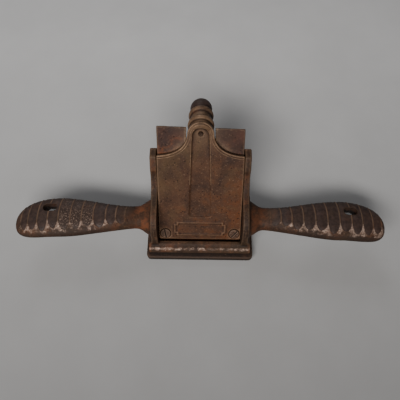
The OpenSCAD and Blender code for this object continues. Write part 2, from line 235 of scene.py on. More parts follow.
lamps = [area_light("key", (-0.20, -0.54, 0.64), (0.62, 0.2), 10.0, (1.0, 0.97, 0.93)),
         area_light("sheen", (-0.25, 0.95, 0.85), (0.5, 0.5), 4, (0.95, 0.97, 1.0))]
print("lamps", [(lamp.name, lamp.data.energy) for lamp in lamps])

# %% [markdown]
# ## From hard solids to a casting
#
# A casting has no sharp edges: sand rounds them, and a century of hands rounds
# them again. Bevelling every edge of a complicated solid breaks easily. So the
# solid is copied, merged, and cut into small voxels, which gives one even
# skin, and that skin is relaxed a few times. The relaxing eats edges and
# leaves flat faces alone.
#
# The same trick tells where the iron was rubbed. A point that moves inwards
# when the skin is relaxed a lot lies on an edge, and one that moves outwards
# lies in a corner, which the materials darken. That number is stored on every
# point as the attribute wear, and the materials read it.

# %% Copy, cut and remesh


def merged_copy(name, node):
    """A copy of a frame solid as a clean mesh object."""
    bm = bmesh.new()
    bm.from_mesh(frame["nodes"][node].data)
    bmesh.ops.remove_doubles(bm, verts=bm.verts, dist=0.002 * MM)
    return object_from(name, bm)


def object_from(name, bm):
    mesh = bpy.data.meshes.new(name)
    bm.to_mesh(mesh)
    bm.free()
    made = bpy.data.objects.new(name, mesh)
    bpy.context.scene.collection.objects.link(made)
    return made


def face_outward(mesh):
    """Turns every face of a closed mesh outwards."""
    bm = bmesh.new()
    bm.from_mesh(mesh)
    bmesh.ops.recalc_face_normals(bm, faces=bm.faces)
    bm.to_mesh(mesh)
    bm.free()


def bake_modifiers(o):
    """Replaces an object's mesh by what its modifiers make of it."""
    bpy.context.view_layer.update()
    graph = bpy.context.evaluated_depsgraph_get()
    made = bpy.data.meshes.new_from_object(o.evaluated_get(graph), depsgraph=graph)
    o.modifiers.clear()
    o.data = made
    return o


def voxels(o, size_mm):
    cut = o.modifiers.new("voxels", "REMESH")
    cut.mode = "VOXEL"
    cut.voxel_size = size_mm * MM
    cut.adaptivity = 0
    return bake_modifiers(o)


print("solids that can be copied", len(frame["nodes"]))

# %% Read, relax and write points


def read_points(mesh):
    flat = np.empty(len(mesh.vertices) * 3)
    mesh.vertices.foreach_get("co", flat)
    return flat.reshape(-1, 3)


def read_normals(mesh):
    flat = np.empty(len(mesh.vertices) * 3, np.float32)
    mesh.vertex_normals.foreach_get("vector", flat)
    return flat.reshape(-1, 3).astype(float)


def write_points(mesh, points):
    mesh.vertices.foreach_set("co", points.astype(np.float32).ravel())
    mesh.update()


def relaxed(mesh, points, rounds):
    """Moves every point half way to the middle of its neighbours, rounds times."""
    flat = np.empty(len(mesh.edges) * 2, np.int32)
    mesh.edges.foreach_get("vertices", flat)
    a, b = flat.reshape(-1, 2).T
    count = len(points)
    near = np.maximum(np.bincount(a, minlength=count) + np.bincount(b, minlength=count), 1)
    for _ in range(rounds):
        total = np.stack([np.bincount(a, points[b, k], count) + np.bincount(b, points[a, k], count)
                          for k in range(3)], axis=1)
        points = 0.5 * points + 0.5 * total / near[:, None]
    return points


def store(mesh, name, values):
    made = mesh.attributes.new(name, "FLOAT", "POINT")
    made.data.foreach_set("value", np.asarray(values, np.float32))


def fade(value, low, high):
    """A smooth step from 0 at low to 1 at high, for whole arrays."""
    u = np.clip((value - low) / (high - low), 0, 1)
    return u * u * (3 - 2 * u)


print("fade from 0 to 1:", fade(np.linspace(0, 1, 5), 0, 1).round(2))

# %% Foundry texture


def foundry_relief(points, swell, grit, pits, pit_size=3.2, seed=0.0):
    """Height in millimetres of a cast and rusted skin at each point."""
    heights = np.empty(len(points))
    for i, (x, y, z) in enumerate(points / MM):
        here = Vector((x + seed, y - seed, z))
        height = swell * noise.noise(here / 9) + grit * noise.fractal(here / 1.7, 0.9, 2.0, 3)
        if pits:
            hole = noise.voronoi(here / pit_size)[0][0]
            if hole < 0.34 and noise.noise(here / 14 + Vector((7, 3, 1))) > 0.02:
                height -= pits * (1 - hole / 0.34)
        heights[i] = height
    return heights


def iron_skin(o, voxel, soften, swell=0.08, grit=0.035, pits=0.12, reach=1.6, seed=0.0, melt=None):
    """Gives a solid the rounded, textured skin of old iron, softer still where melt says."""
    voxels(o, voxel)
    mesh = o.data
    points = relaxed(mesh, read_points(mesh), soften)
    share = melt(points) if melt else np.zeros(len(points))
    if melt:
        points += (relaxed(mesh, points, 16) - points) * share[:, None]
    write_points(mesh, points)
    normals = read_normals(mesh)
    far = relaxed(mesh, points, int(2 * (reach / voxel) ** 2) + 1)
    wear = ((points - far) * normals).sum(1) / MM / (0.2 * reach)
    store(mesh, "wear", wear * (1 - 0.6 * share))
    heights = foundry_relief(points, swell, grit, pits, seed=seed)
    write_points(mesh, points + normals * (heights - swell * 0.5)[:, None] * MM)
    mesh.shade_smooth()
    print(o.name, len(mesh.vertices), "points")
    return o


# %% [markdown]
# ## Rust, patina and polish
#
# Old iron isn't one colour. Under it all is a dark brown patina. Red-brown and
# orange rust grows over that in patches, with olive grime where oil sat. Small
# pits are darker, and edges that hands and wood rubbed are pale and smooth.
# Each layer is a noise of its own size, so one function makes all the iron
# finishes, and each piece gets its own tones and amounts.

# %% Iron finish


def stored(tree, key):
    """Reads a number kept on the points, or 0 on a piece that has none of that name."""
    return add(tree, "ShaderNodeAttribute", attribute_name=key).outputs["Fac"]


def iron_finish(name, dark, brown, rust, grime, bare, rusty=0.5, oily=0.4, polish=0.5, gloss=0.5,
                seed=(0, 0, 0), rust_and_shade_lean=(0, 0, 0), middle_at=(0, 0, 0)):
    """Layers of patina, rust, grime, pits and rubbed edges. Rust grows towards lean, which on the cap also
    darkens its right side as painted shade.
    """
    made, tree, shader = new_material(name)
    object_place = add(tree, "ShaderNodeTexCoord").outputs["Object"]
    place = add(tree, "ShaderNodeMapping", {"Vector": object_place, "Location": seed}).outputs["Vector"]
    offset = add(tree, "ShaderNodeVectorMath", {0: object_place, 1: middle_at},
                 operation="SUBTRACT").outputs["Vector"]
    slant = add(tree, "ShaderNodeVectorMath", {0: offset, 1: rust_and_shade_lean},
                operation="DOT_PRODUCT").outputs["Value"]
    broad = grain(tree, place, 17, 5, 0.6, 0.5)
    middle = grain(tree, place, 5.5, 6, 0.65, 0.4)
    fine = grain(tree, place, 1.3, 4, 0.6)
    dust = grain(tree, place, 0.5, 2, 0.5)
    patina = blend_colour(tree, ramp(tree, sums(tree, "ADD", broad, sums(tree, "MULTIPLY", fine, 0.35)),
                                     0.5, 0.85), dark, brown)
    blotches = sums(tree, "ADD", sums(tree, "MULTIPLY", middle, 0.7), sums(tree, "MULTIPLY", broad, 0.9))
    rust_share = ramp(tree, sums(tree, "ADD", blotches, slant),
                      0.98 - 0.3 * rusty, 1.2 - 0.3 * rusty, 0, 0.85)
    colour = blend_colour(tree, rust_share, patina, rust)
    oil = sums(tree, "SUBTRACT", grain(tree, place, 24, 4, 0.55, 0.8), sums(tree, "MULTIPLY", slant, 0.6))
    colour = blend_colour(tree, ramp(tree, oil, 0.62 - 0.3 * oily, 0.82 - 0.3 * oily, 0, 0.65),
                          colour, grime)
    speck = ramp(tree, fine, 0.6, 0.72, 0, 0.55)
    colour = blend_colour(tree, speck, colour, bare)
    cells = add(tree, "ShaderNodeTexVoronoi", {"Vector": place, "Scale": 1 / (2.4 * MM)})
    holes = sums(tree, "MULTIPLY", ramp(tree, cells.outputs["Distance"], 0.2, 0.32, 1, 0),
                 ramp(tree, middle, 0.5, 0.56))
    colour = blend_colour(tree, sums(tree, "MULTIPLY", holes, 0.75), colour,
                          tuple(0.35 * v for v in dark))
    wear = stored(tree, "wear")
    ragged = sums(tree, "ADD", wear, ramp(tree, middle, 0.3, 0.7, -0.35, 0.35))
    rubbed = ramp(tree, ragged, 0.18, 0.75, 0, polish)
    handled = sums(tree, "MULTIPLY", stored(tree, "worn"), ramp(tree, middle, 0.34, 0.62, 0.2, 0.95))
    handled = sums(tree, "MULTIPLY", handled, ramp(tree, wear, -0.25, 0.3, 0.0, 1.15))
    rubbed = sums(tree, "MAXIMUM", rubbed, handled)
    colour = blend_colour(tree, rubbed, colour, bare)
    # Corners and hollows, where wear is below zero, are darkened.
    darker_in_hollows = ramp(tree, wear, -0.12, -0.6, 0, 0.85)
    colour = blend_colour(tree, darker_in_hollows, colour, tuple(0.3 * v for v in dark))
    shade = ramp(tree, dust, 0.25, 0.75, 0.78, 1.2)
    grey = add(tree, "ShaderNodeCombineColor", {0: shade, 1: shade, 2: shade}).outputs[0]
    colour = blend_colour(tree, 1.0, colour, grey, "MULTIPLY")
    tree.links.new(colour, shader.inputs["Base Color"])
    rough = sums(tree, "ADD", ramp(tree, middle, 0.3, 0.7, 0.8 - 0.35 * gloss, 0.95 - 0.4 * gloss),
                 sums(tree, "MULTIPLY", rubbed, -0.22))
    tree.links.new(rough, shader.inputs["Roughness"])
    tree.links.new(sums(tree, "MULTIPLY", rubbed, 0.35), shader.inputs["Metallic"])
    shader.inputs["Specular IOR Level"].default_value = 0.22
    height = sums(tree, "ADD", sums(tree, "MULTIPLY", fine, 1.0), sums(tree, "MULTIPLY", dust, 0.45))
    height = sums(tree, "SUBTRACT", height, sums(tree, "MULTIPLY", holes, 0.8))
    bump = add(tree, "ShaderNodeBump", {"Height": height, "Strength": 0.55, "Distance": 0.25 * MM})
    tree.links.new(bump.outputs["Normal"], shader.inputs["Normal"])
    return made, tree, shader, colour


# %% The finishes of the small pieces
# The cap's rust leans to its right side and down. On the right it is partly rust and partly painted shade,
# darker away from the lamp.
cap_iron = iron_finish("olive brown cap iron", (0.026, 0.011, 0.006), (0.068, 0.029, 0.013),
                       (0.080, 0.025, 0.007), (0.068, 0.038, 0.015), (0.175, 0.108, 0.066),
                       rusty=0.42, oily=0.4, polish=0.45, seed=(0.03, 0.01, 0.02),
                       rust_and_shade_lean=(3.2, 0, -3.0), middle_at=on_bed(0, 50, 5))[0]
cutter_steel = iron_finish("red rusted steel", (0.020, 0.009, 0.007), (0.056, 0.022, 0.014),
                           (0.125, 0.036, 0.010), (0.028, 0.015, 0.010), (0.17, 0.11, 0.07),
                           rusty=0.5, oily=0.35, polish=0.3, seed=(0.05, 0.03, 0.01),
                           rust_and_shade_lean=SLOPE * -14 - ACROSS * 1.5, middle_at=on_bed(0, 95, 0))[0]
sole_iron = iron_finish("dark sole iron", (0.007, 0.004, 0.003), (0.017, 0.008, 0.005),
                        (0.032, 0.012, 0.006), (0.013, 0.008, 0.005), (0.10, 0.058, 0.036),
                        rusty=0.35, oily=0.5, polish=0.3, seed=(0.02, 0.07, 0.03))[0]
screw_steel = iron_finish("brown screw steel", (0.028, 0.014, 0.009), (0.072, 0.038, 0.024),
                          (0.105, 0.038, 0.016), (0.048, 0.032, 0.020), (0.20, 0.13, 0.09),
                          rusty=0.35, oily=0.5, polish=0.5, seed=(0.01, 0.02, 0.09))[0]
stud_steel = iron_finish("dark stud steel", (0.024, 0.012, 0.008), (0.062, 0.033, 0.021),
                         (0.09, 0.033, 0.016), (0.04, 0.028, 0.018), (0.18, 0.12, 0.085),
                         rusty=0.35, oily=0.5, polish=0.5, seed=(0.06, 0.02, 0.04))[0]
knob_iron = iron_finish("black brown knob iron", (0.018, 0.010, 0.008), (0.040, 0.022, 0.018),
                        (0.055, 0.024, 0.016), (0.026, 0.018, 0.014), (0.12, 0.08, 0.065),
                        rusty=0.3, oily=0.4, polish=0.25, gloss=0.7, seed=(0.08, 0.01, 0.02))[0]
print("finishes", len(bpy.data.materials))

# %% [markdown]
# The casting needs more. Its grips have blackened tongues with thin tan lines
# between them, bare metal where the tongues end, and three pitted bands. Red
# rust sits round the necks, and the front of the foot is rubbed bright in
# spots. The grips' front rim, underside and slot walls get painted shade. Each
# of these is a number kept on the points of the pieces that have it. One
# material for the casting's three pieces keeps their joins unseen.

# %% Finish of the casting
body_iron, body_tree, body_shader, body_colour = iron_finish(
    "brown cast iron", (0.014, 0.007, 0.004), (0.043, 0.019, 0.010), (0.085, 0.027, 0.009),
    (0.031, 0.018, 0.008), (0.140, 0.086, 0.052), rusty=0.5, oily=0.45, polish=0.34)


def casting_layers(tree, shader, colour):
    place = add(tree, "ShaderNodeTexCoord").outputs["Object"]
    spots = grain(tree, place, 1.1, 4, 0.7)
    blots = grain(tree, place, 3.2, 5, 0.65)
    patches = grain(tree, place, 8, 4, 0.6)
    red = sums(tree, "MULTIPLY", stored(tree, "root"), ramp(tree, patches, 0.42, 0.58, 0.1, 0.9))
    colour = blend_colour(tree, red, colour, (0.105, 0.033, 0.012))
    black = blend_colour(tree, ramp(tree, blots, 0.35, 0.7), (0.016, 0.010, 0.009), (0.046, 0.028, 0.023))
    tongue = sums(tree, "MULTIPLY", stored(tree, "tongue"), ramp(tree, patches, 0.3, 0.6, 0.6, 0.92))
    colour = blend_colour(tree, tongue, colour, black)
    line = sums(tree, "MULTIPLY", stored(tree, "line"), ramp(tree, patches, 0.35, 0.6, 0.8, 0.3))
    colour = blend_colour(tree, line, colour, (0.120, 0.074, 0.050))
    flecks = blend_colour(tree, ramp(tree, spots, 0.52, 0.68), (0.024, 0.014, 0.010), (0.24, 0.165, 0.125))
    colour = blend_colour(tree, sums(tree, "MULTIPLY", stored(tree, "pitted"), 0.75), colour, flecks)
    bare = stored(tree, "bare")
    ragged = sums(tree, "ADD", bare, ramp(tree, blots, 0.3, 0.7, -0.7, 0.4))
    ragged = sums(tree, "ADD", ragged, ramp(tree, patches, 0.35, 0.65, -0.35, 0.25))
    ragged = sums(tree, "MULTIPLY", ragged, ramp(tree, bare, 0.05, 0.3))
    metal = ramp(tree, ragged, 0.25, 0.95, 0, 0.85)
    silver = blend_colour(tree, ramp(tree, spots, 0.38, 0.66), (0.105, 0.060, 0.043), (0.46, 0.34, 0.275))
    colour = blend_colour(tree, metal, colour, silver)
    # Painted shade: where edge is stored the colour goes nearly black, standing in for shade on the grips'
    # front rim and underside and in their slots.
    shaded = sums(tree, "MULTIPLY", stored(tree, "edge"), ramp(tree, patches, 0.3, 0.7, 0.9, 0.55))
    colour = blend_colour(tree, shaded, colour, (0.018, 0.010, 0.007))
    tree.links.new(colour, shader.inputs["Base Color"])
    rough = shader.inputs["Roughness"].links[0].from_socket
    satin = sums(tree, "MULTIPLY", sums(tree, "ADD", tongue, metal), -0.16)
    tree.links.new(sums(tree, "ADD", rough, satin), shader.inputs["Roughness"])
    shine = shader.inputs["Metallic"].links[0].from_socket
    tree.links.new(sums(tree, "MAXIMUM", shine, sums(tree, "MULTIPLY", metal, 0.5)),
                   shader.inputs["Metallic"])


casting_layers(body_tree, body_shader, body_colour)
print("casting finish has", len(body_tree.nodes), "nodes")

# %% [markdown]
# ## The grips
#
# Each grip is cast in one with the body: a plain neck grows out of the cheek,
# widens, and ends in a rounded tip that swings to the front. Its face carries
# a row of dark tongues divided by thin raised lines, and the tongues end in
# round tips short of the front edge, where hands wore the iron bare.
#
# The blank follows a rule along its length: a half width, a half thickness and
# a middle for each station. That suits Geometry Nodes, where a flat grid is
# bent round into the grip and every size is a named input. The ornament is
# then cut by a formula of the place along and across, which keeps its lines
# crisp where voxels would not.

# %% Helpers for Geometry Nodes


def new_tree(name, sizes):
    """A modifier tree with a geometry input and a named input for each size."""
    tree = bpy.data.node_groups.new(name, "GeometryNodeTree")
    tree.interface.new_socket("Geometry", in_out="INPUT", socket_type="NodeSocketGeometry")
    tree.interface.new_socket("Geometry", in_out="OUTPUT", socket_type="NodeSocketGeometry")
    for key, kind in sizes.items():
        tree.interface.new_socket(key, in_out="INPUT", socket_type="NodeSocket" + kind)
    return tree, tree.nodes.new("NodeGroupInput").outputs, tree.nodes.new("NodeGroupOutput").inputs


def run_tree(o, tree, values):
    """Runs a tree on an object with these inputs, and keeps the result as a plain mesh."""
    modifier = o.modifiers.new(tree.name, "NODES")
    modifier.node_group = tree
    for item in tree.interface.items_tree:
        if item.in_out == "INPUT" and item.name in values:
            modifier[item.identifier] = values[item.name]
    return bake_modifiers(o)


def finish_tree(tree, ends, geometry, material):
    """Real geometry instead of instances, with its material, to the output."""
    real = add(tree, "GeometryNodeRealizeInstances", {0: geometry}).outputs[0]
    done = add(tree, "GeometryNodeSetMaterial", {"Geometry": real, "Material": material}).outputs[0]
    tree.links.new(done, ends[0])


print("modifier trees so far", len(bpy.data.node_groups))

# %% Sizes of the grips, in millimetres
SPAN = 2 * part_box("body_casting")[1].x / MM
SOLE_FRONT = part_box("sole_plate")[0].y / MM
SEAM_X = 50.0
GRIP = {"Span": SPAN, "Body Width": 81.6, "Middle Y": SOLE_FRONT + 26.2, "Neck Back": 3.7,
        "Middle Z": 32.0, "Neck Drop": 7.0, "Grip Width": 34.0, "Neck Width": 19.0,
        "Thickness": 14.0, "Neck Flare": 9.0, "Neck Rise": 7.5, "Tip Length": 35.0,
        "Tip Droop": 5.0, "Seam": SEAM_X}
SLOT_LEN, SLOT_W, SLOT_SIDES = 11.5, 6.6, 48
SLOT_X = SPAN / 2 - GRIP["Tip Length"] + 7.2
SLOT_Y = GRIP["Middle Y"] + 6.4
print("span", round(SPAN, 1), "slot at", round(SLOT_X, 1), round(SLOT_Y, 1))

# %% The tree that bends a grid into a grip


def grip_tree():
    sizes = {key: "Float" for key in GRIP}
    sizes.update({"Side": "Float", "Stations": "Int", "Around": "Int", "Finish": "Material"})
    tree, size, ends = new_tree("grip blank", sizes)

    def calc(how, a, b=0.0):
        return sums(tree, how, a, b)

    def ease(value, low, high):
        return add(tree, "ShaderNodeMapRange", {"Value": value, "From Min": low, "From Max": high},
                   interpolation_type="SMOOTHSTEP").outputs["Result"]

    def squared_off(wave):
        return calc("MULTIPLY", calc("SIGN", wave), calc("POWER", calc("ABSOLUTE", wave), 0.84))

    grid = add(tree, "GeometryNodeMeshGrid", {"Size X": 1.0, "Size Y": 1.0, "Vertices X": size["Stations"],
                                              "Vertices Y": size["Around"]}).outputs["Mesh"]
    flat = add(tree, "ShaderNodeSeparateXYZ", {0: add(tree, "GeometryNodeInputPosition").outputs[0]})
    share = calc("ADD", flat.outputs["X"], 0.5)
    turn = calc("MULTIPLY", flat.outputs["Y"], 2 * math.pi)
    half_span = calc("MULTIPLY", size["Span"], 0.5)
    half_body = calc("MULTIPLY", size["Body Width"], 0.5)
    start = calc("SUBTRACT", size["Seam"], 4.0)
    reach = calc("POWER", calc("SINE", calc("MULTIPLY", share, math.pi / 2)), 0.92)
    x = calc("ADD", start, calc("MULTIPLY", reach, calc("SUBTRACT", half_span, start)))
    tip_start = calc("SUBTRACT", half_span, size["Tip Length"])
    tip = calc("MAXIMUM", calc("DIVIDE", calc("SUBTRACT", x, tip_start), size["Tip Length"]))
    rounding = calc("POWER", calc("MAXIMUM", calc("SUBTRACT", 1.0, calc("POWER", tip, 2.9))), 1 / 2.9)
    root = calc("POWER", ramp(tree, calc("SUBTRACT", x, half_body), -0.3, 14.7, 1.0, 0.0), 2.4)
    neck = calc("SUBTRACT", 1.0, ease(calc("SUBTRACT", x, half_body), 0.0, 35.0))
    swell = calc("MULTIPLY", calc("SUBTRACT", size["Grip Width"], size["Neck Width"]),
                 calc("MULTIPLY", ease(x, 50.0, tip_start), 0.5))
    wide = calc("ADD", calc("MULTIPLY", size["Neck Width"], 0.5),
                calc("MULTIPLY", size["Neck Flare"], root))
    thick = calc("ADD", calc("MULTIPLY", size["Thickness"], 0.5), calc("MULTIPLY", size["Neck Rise"], root))
    closed = ramp(tree, share, 0.0, 0.002)
    dip = calc("MULTIPLY", calc("SUBTRACT", 1.0, ease(calc("SUBTRACT", x, size["Seam"]), -3.0, 0.0)), -0.7)
    half_w = calc("ADD", dip, calc("MULTIPLY", rounding, calc("ADD", wide, swell)))
    half_h = calc("ADD", dip, calc("MULTIPLY", calc("SQRT", rounding), thick))
    half_w, half_h = calc("MULTIPLY", closed, half_w), calc("MULTIPLY", closed, half_h)
    y = calc("ADD", size["Middle Y"], calc("MULTIPLY", size["Neck Back"], neck))
    y = calc("SUBTRACT", y, calc("MULTIPLY", size["Tip Droop"], calc("POWER", tip, 1.6)))
    z = calc("SUBTRACT", size["Middle Z"], calc("MULTIPLY", size["Neck Drop"], neck))
    z = calc("SUBTRACT", z, calc("MULTIPLY", 2.0, calc("POWER", tip, 2.0)))
    cross, rise = squared_off(calc("COSINE", turn)), squared_off(calc("SINE", turn))
    place = add(tree, "ShaderNodeCombineXYZ", {
        "X": calc("MULTIPLY", x, size["Side"]), "Y": calc("ADD", y, calc("MULTIPLY", half_w, cross)),
        "Z": calc("ADD", z, calc("MULTIPLY", half_h, rise))}).outputs[0]
    place = add(tree, "ShaderNodeVectorMath", {0: place, "Scale": MM}, operation="SCALE").outputs[0]
    for key, value in (("along", x), ("cross", cross), ("rise", rise)):
        grid = add(tree, "GeometryNodeStoreNamedAttribute",
                   {"Geometry": grid, "Name": key, "Value": value}).outputs[0]
    bent = add(tree, "GeometryNodeSetPosition", {"Geometry": grid, "Position": place}).outputs[0]
    whole = add(tree, "GeometryNodeMergeByDistance", {"Geometry": bent, "Distance": 0.002 * MM}).outputs[0]
    finish_tree(tree, ends, whole, size["Finish"])
    return tree


grip_blank = grip_tree()
print(grip_blank.name, "tree has", len(grip_blank.nodes), "nodes")

# %% [markdown]
# ## The grips' ornament
#
# The carver didn't measure: the lines stand at uneven distances and differ on
# the two grips, so their places are listed one by one, in millimetres from the
# middle. Everything else about a tongue is a formula of where a point lies
# between its two lines and how far it is towards the front.

# %% Ornament of the grips
LEFT_LINES = [53.5, 61.8, 69.2, 77.4, 87.6, 97.1, 106.3, 116.0, 124.7, 133.2, 140.9, 147.2, 153]
RIGHT_LINES = [52.5, 58.2, 66.7, 75.4, 84.8, 94.6, 104.5, 114.3, 124.0, 132.8, 141.4, 149.0, 155]
TONGUE_TOP, TONGUE_TIP = -0.20, -0.74
LINE_W = 0.55
print("lines", len(LEFT_LINES), "left,", len(RIGHT_LINES), "right")


def ornament(x, cross, lines, left):
    """Relief in millimetres, and how much of each layer of the finish shows."""
    bulge = 1.7 * (1 - ((cross - 0.15) / 1.1) ** 2) - 1.7
    number_at = np.interp(x - bulge, lines, np.arange(len(lines)))
    number = np.floor(number_at)
    pitch = np.diff(lines + [lines[-1] + 6])[number.astype(int)]
    local = 2 * (number_at - number) - 1
    wobble = np.sin(number * 2.4 + left) * 0.07
    tip = np.clip((TONGUE_TOP - cross) / (TONGUE_TOP - TONGUE_TIP + wobble), 0, 1)
    half = (1 - LINE_W / pitch) * np.sqrt(np.maximum(0, 1 - tip ** 2.2))
    inside = (half - np.abs(local)) * pitch / 2
    shown = fade(x, lines[0], lines[2]) * (1 - 0.4 * fade(x, SPAN / 2 - 8, SPAN / 2))
    tongue = fade(inside, -0.05, 0.55) * shown
    pillow = np.where(inside > 0, 1 - (local / np.maximum(half, 0.2)) ** 2, 0) * shown
    relief = -0.42 * tongue + 0.30 * pillow * tongue
    front = fade(-cross, 0.05, 0.35)
    apex = np.exp(-((cross + 0.52) / 0.2) ** 2)
    bare = (1 - tongue) * front * (0.35 + 0.65 * apex) * (1 - 0.8 * fade(-cross, 0.84, 1))
    bare = bare * fade(x, 58, 80)
    pitted = tongue * left * fade(x, 86, 89) * (1 - fade(x, 114, 117))
    pitted = pitted * (0.45 + 0.55 * fade(-cross, -0.5, 0.1))
    line = (1 - tongue) * (1 - front) * shown
    # edge is painted shade on the grip's front rim and underside.
    return relief, {"tongue": tongue, "bare": bare, "pitted": pitted, "line": line,
                    "root": 1 - fade(x, 48, 62), "edge": 0.8 * fade(-cross, 0.8, 0.95) * fade(x, 60, 80)}


# %% [markdown]
# A grip is the bent blank with the ornament and the foundry texture pushed
# into it along its normals. The hanging slot is cut last, so its walls stay
# straight, and the painted shade on its walls and lips is stored after the cut.

# %% Build one grip
GRIP_STATIONS, GRIP_AROUND = 340, 153
print("a grip has about", GRIP_STATIONS * GRIP_AROUND, "points")


def read_number(mesh, key):
    values = np.empty(len(mesh.vertices), np.float32)
    mesh.attributes[key].data.foreach_get("value", values)
    return values.astype(float)


def grip_piece(name, side):
    """side is -1 for the left grip and 1 for the right one."""
    o = object_from(name, bmesh.new())
    run_tree(o, grip_blank, {**GRIP, "Side": side, "Stations": GRIP_STATIONS,
                             "Around": GRIP_AROUND, "Finish": body_iron})
    mesh = o.data
    face_outward(mesh)
    along, cross = read_number(mesh, "along"), read_number(mesh, "cross")
    left = 1.0 if side < 0 else 0.0
    relief, layers = ornament(along, cross, LEFT_LINES if side < 0 else RIGHT_LINES, left)
    layers["bare"] *= 1.15 - 0.2 * left
    layers["line"] *= 0.65 + 0.35 * left
    layers["root"] *= 0.55 + 0.45 * left
    for key, values in layers.items():
        store(mesh, key, values)
    points = read_points(mesh)
    heights = foundry_relief(points, 0.10, 0.045, 0.10) - 0.05
    pocks = np.array([noise.fractal(Vector(p) / (0.9 * MM), 0.7, 2.0, 3) for p in points])
    rough_root = 0.10 * (1 - fade(along, 54, 72)) * fade(along, 49, 54)
    heights += (relief * (1 - fade(along, SPAN / 2 - 1.5, SPAN / 2)) +
                (0.22 * layers["pitted"] + rough_root) * pocks)
    write_points(mesh, points + read_normals(mesh) * heights[:, None] * MM)
    return o


# %% Hanging slot


def slot_cutter(side):
    """A long hole with round ends whose lips open a little."""
    bm = bmesh.new()
    reach = (SLOT_LEN - SLOT_W) / 2
    rings = []
    for z, more in ((-14, 2.2), (-7.2, 0.4), (-6.2, 0.1), (-4.5, 0),
                    (4.5, 0), (6.2, 0.1), (7.2, 0.4), (14, 2.2)):
        radius = SLOT_W / 2 + more
        ring = []
        for k in range(SLOT_SIDES):
            a = 2 * math.pi * k / SLOT_SIDES
            end = reach if math.cos(a) > 0 else -reach
            ring.append(bm.verts.new(((side * SLOT_X + end + radius * math.cos(a)) * MM,
                                      (SLOT_Y + radius * math.sin(a)) * MM,
                                      (GRIP["Middle Z"] + z) * MM)))
        rings.append(ring)
    for low, high in zip(rings, rings[1:]):
        for k in range(SLOT_SIDES):
            after = (k + 1) % SLOT_SIDES
            bm.faces.new((low[k], low[after], high[after], high[k]))
    bm.faces.new(rings[0][::-1])
    bm.faces.new(rings[-1])
    bmesh.ops.recalc_face_normals(bm, faces=bm.faces)
    return object_from("slot_cutter", bm)


def cut_slot(o, side):
    tool = slot_cutter(side)
    cut = o.modifiers.new("slot", "BOOLEAN")
    cut.operation = "DIFFERENCE"
    cut.solver = "EXACT"
    cut.object = tool
    bake_modifiers(o)
    bpy.data.objects.remove(tool)
    mesh = o.data
    mesh.materials.clear()
    mesh.materials.append(body_iron)
    mesh.polygons.foreach_set("material_index", np.zeros(len(mesh.polygons), np.int32))
    points = read_points(mesh)
    far = relaxed(mesh, points, 14)
    store(mesh, "wear", ((points - far) * read_normals(mesh)).sum(1) / MM / 0.22)
    # Painted shade: the slot's walls and lips get edge = 1, which the finish darkens.
    reach = np.maximum(0, np.abs(points[:, 0] * side / MM - SLOT_X) - (SLOT_LEN - SLOT_W) / 2)
    inside = np.hypot(reach, points[:, 1] / MM - SLOT_Y) < SLOT_W / 2 + 0.35
    mesh.attributes["edge"].data.foreach_set(
        "value", np.maximum(read_number(mesh, "edge"), 1.0 * inside).astype(np.float32))
    mesh.shade_smooth()
    print(o.name, len(mesh.vertices), "points")
    return o


# %% Both grips
left_grip = cut_slot(grip_piece("left_grip", -1), -1)
right_grip = cut_slot(grip_piece("right_grip", 1), 1)

for grip in (left_grip, right_grip):
    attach(grip, "body")
    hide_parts("body_casting")

# %% [markdown]
# ## The body casting
#
# The rest of the casting is the frame's own solid with the grips cut off just
# outside the necks. Its cut ends taper a little, and so do the ends of the
# grips, so each dips under the other and the join can't be seen.

# %% Body core
core = merged_copy("body_core", "body_casting")
core_bm = bmesh.new()
core_bm.from_mesh(core.data)
CUT_X = SEAM_X + 3
for side in (-1, 1):
    cut = bmesh.ops.bisect_plane(core_bm, geom=core_bm.verts[:] + core_bm.edges[:] + core_bm.faces[:],
                                 dist=1e-7, plane_co=(side * CUT_X * MM, 0, 0),
                                 plane_no=(side, 0, 0), clear_outer=True)
    rim = [e for e in cut["geom_cut"] if isinstance(e, bmesh.types.BMEdge)]
    bmesh.ops.contextual_create(core_bm, geom=rim)
core_bm.to_mesh(core.data)
core_bm.free()
iron_skin(core, 0.62, 5, swell=0.10, grit=0.045, pits=0.14)

# %% Sink the core's ends under the grips
core_points = read_points(core.data)
core_x = np.abs(core_points[:, 0]) / MM
sink = 0.7 * fade(core_x, SEAM_X, SEAM_X + 3)
neck = 1 - fade(core_x, GRIP["Body Width"] / 2, GRIP["Body Width"] / 2 + 35)
neck_y, neck_z = GRIP["Middle Y"] + GRIP["Neck Back"] * neck, GRIP["Middle Z"] - GRIP["Neck Drop"] * neck
inward = np.stack([np.zeros(len(core_x)), neck_y - core_points[:, 1] / MM,
                   neck_z - core_points[:, 2] / MM], axis=1)
inward /= np.maximum(np.linalg.norm(inward, axis=1), 1e-6)[:, None]
write_points(core.data, core_points + inward * sink[:, None] * MM)
print("points sunk", int((sink > 0).sum()))

# %% Where the core is rubbed and red
core_y, core_z = core_points[:, 1] / MM, core_points[:, 2] / MM
FOOT_TOP = 11.2
store(core.data, "root", fade(core_x, 40, 44) * np.where(core_points[:, 0] > 0, 0.55, 1))
store(core.data, "worn", fade(core_y, 52, 56) * fade(core_z, 60, 66))
store(core.data, "bare", 0.8 * fade(-core_y, -SOLE_FRONT - 9.2, -SOLE_FRONT - 8.4 + 1.5) *
      np.exp(-((core_z - FOOT_TOP + 0.5) / 1.3) ** 2))
core.data.materials.append(body_iron)
print("attributes on the core", [a.name for a in core.data.attributes if a.data_type == "FLOAT"])
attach(core, "body")
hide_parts("body_casting")

# %% [markdown]
# ## Sole plate and cutter
#
# The sole is machined flat, so its skin is only roughened a little and then
# held inside the plate's own box: the face that slides on the wood stays true.
# The cutter is thin rolled steel. Old crust clings to it on both sides of the
# cap's tongue, so nearness to the tongue is stored on its points.

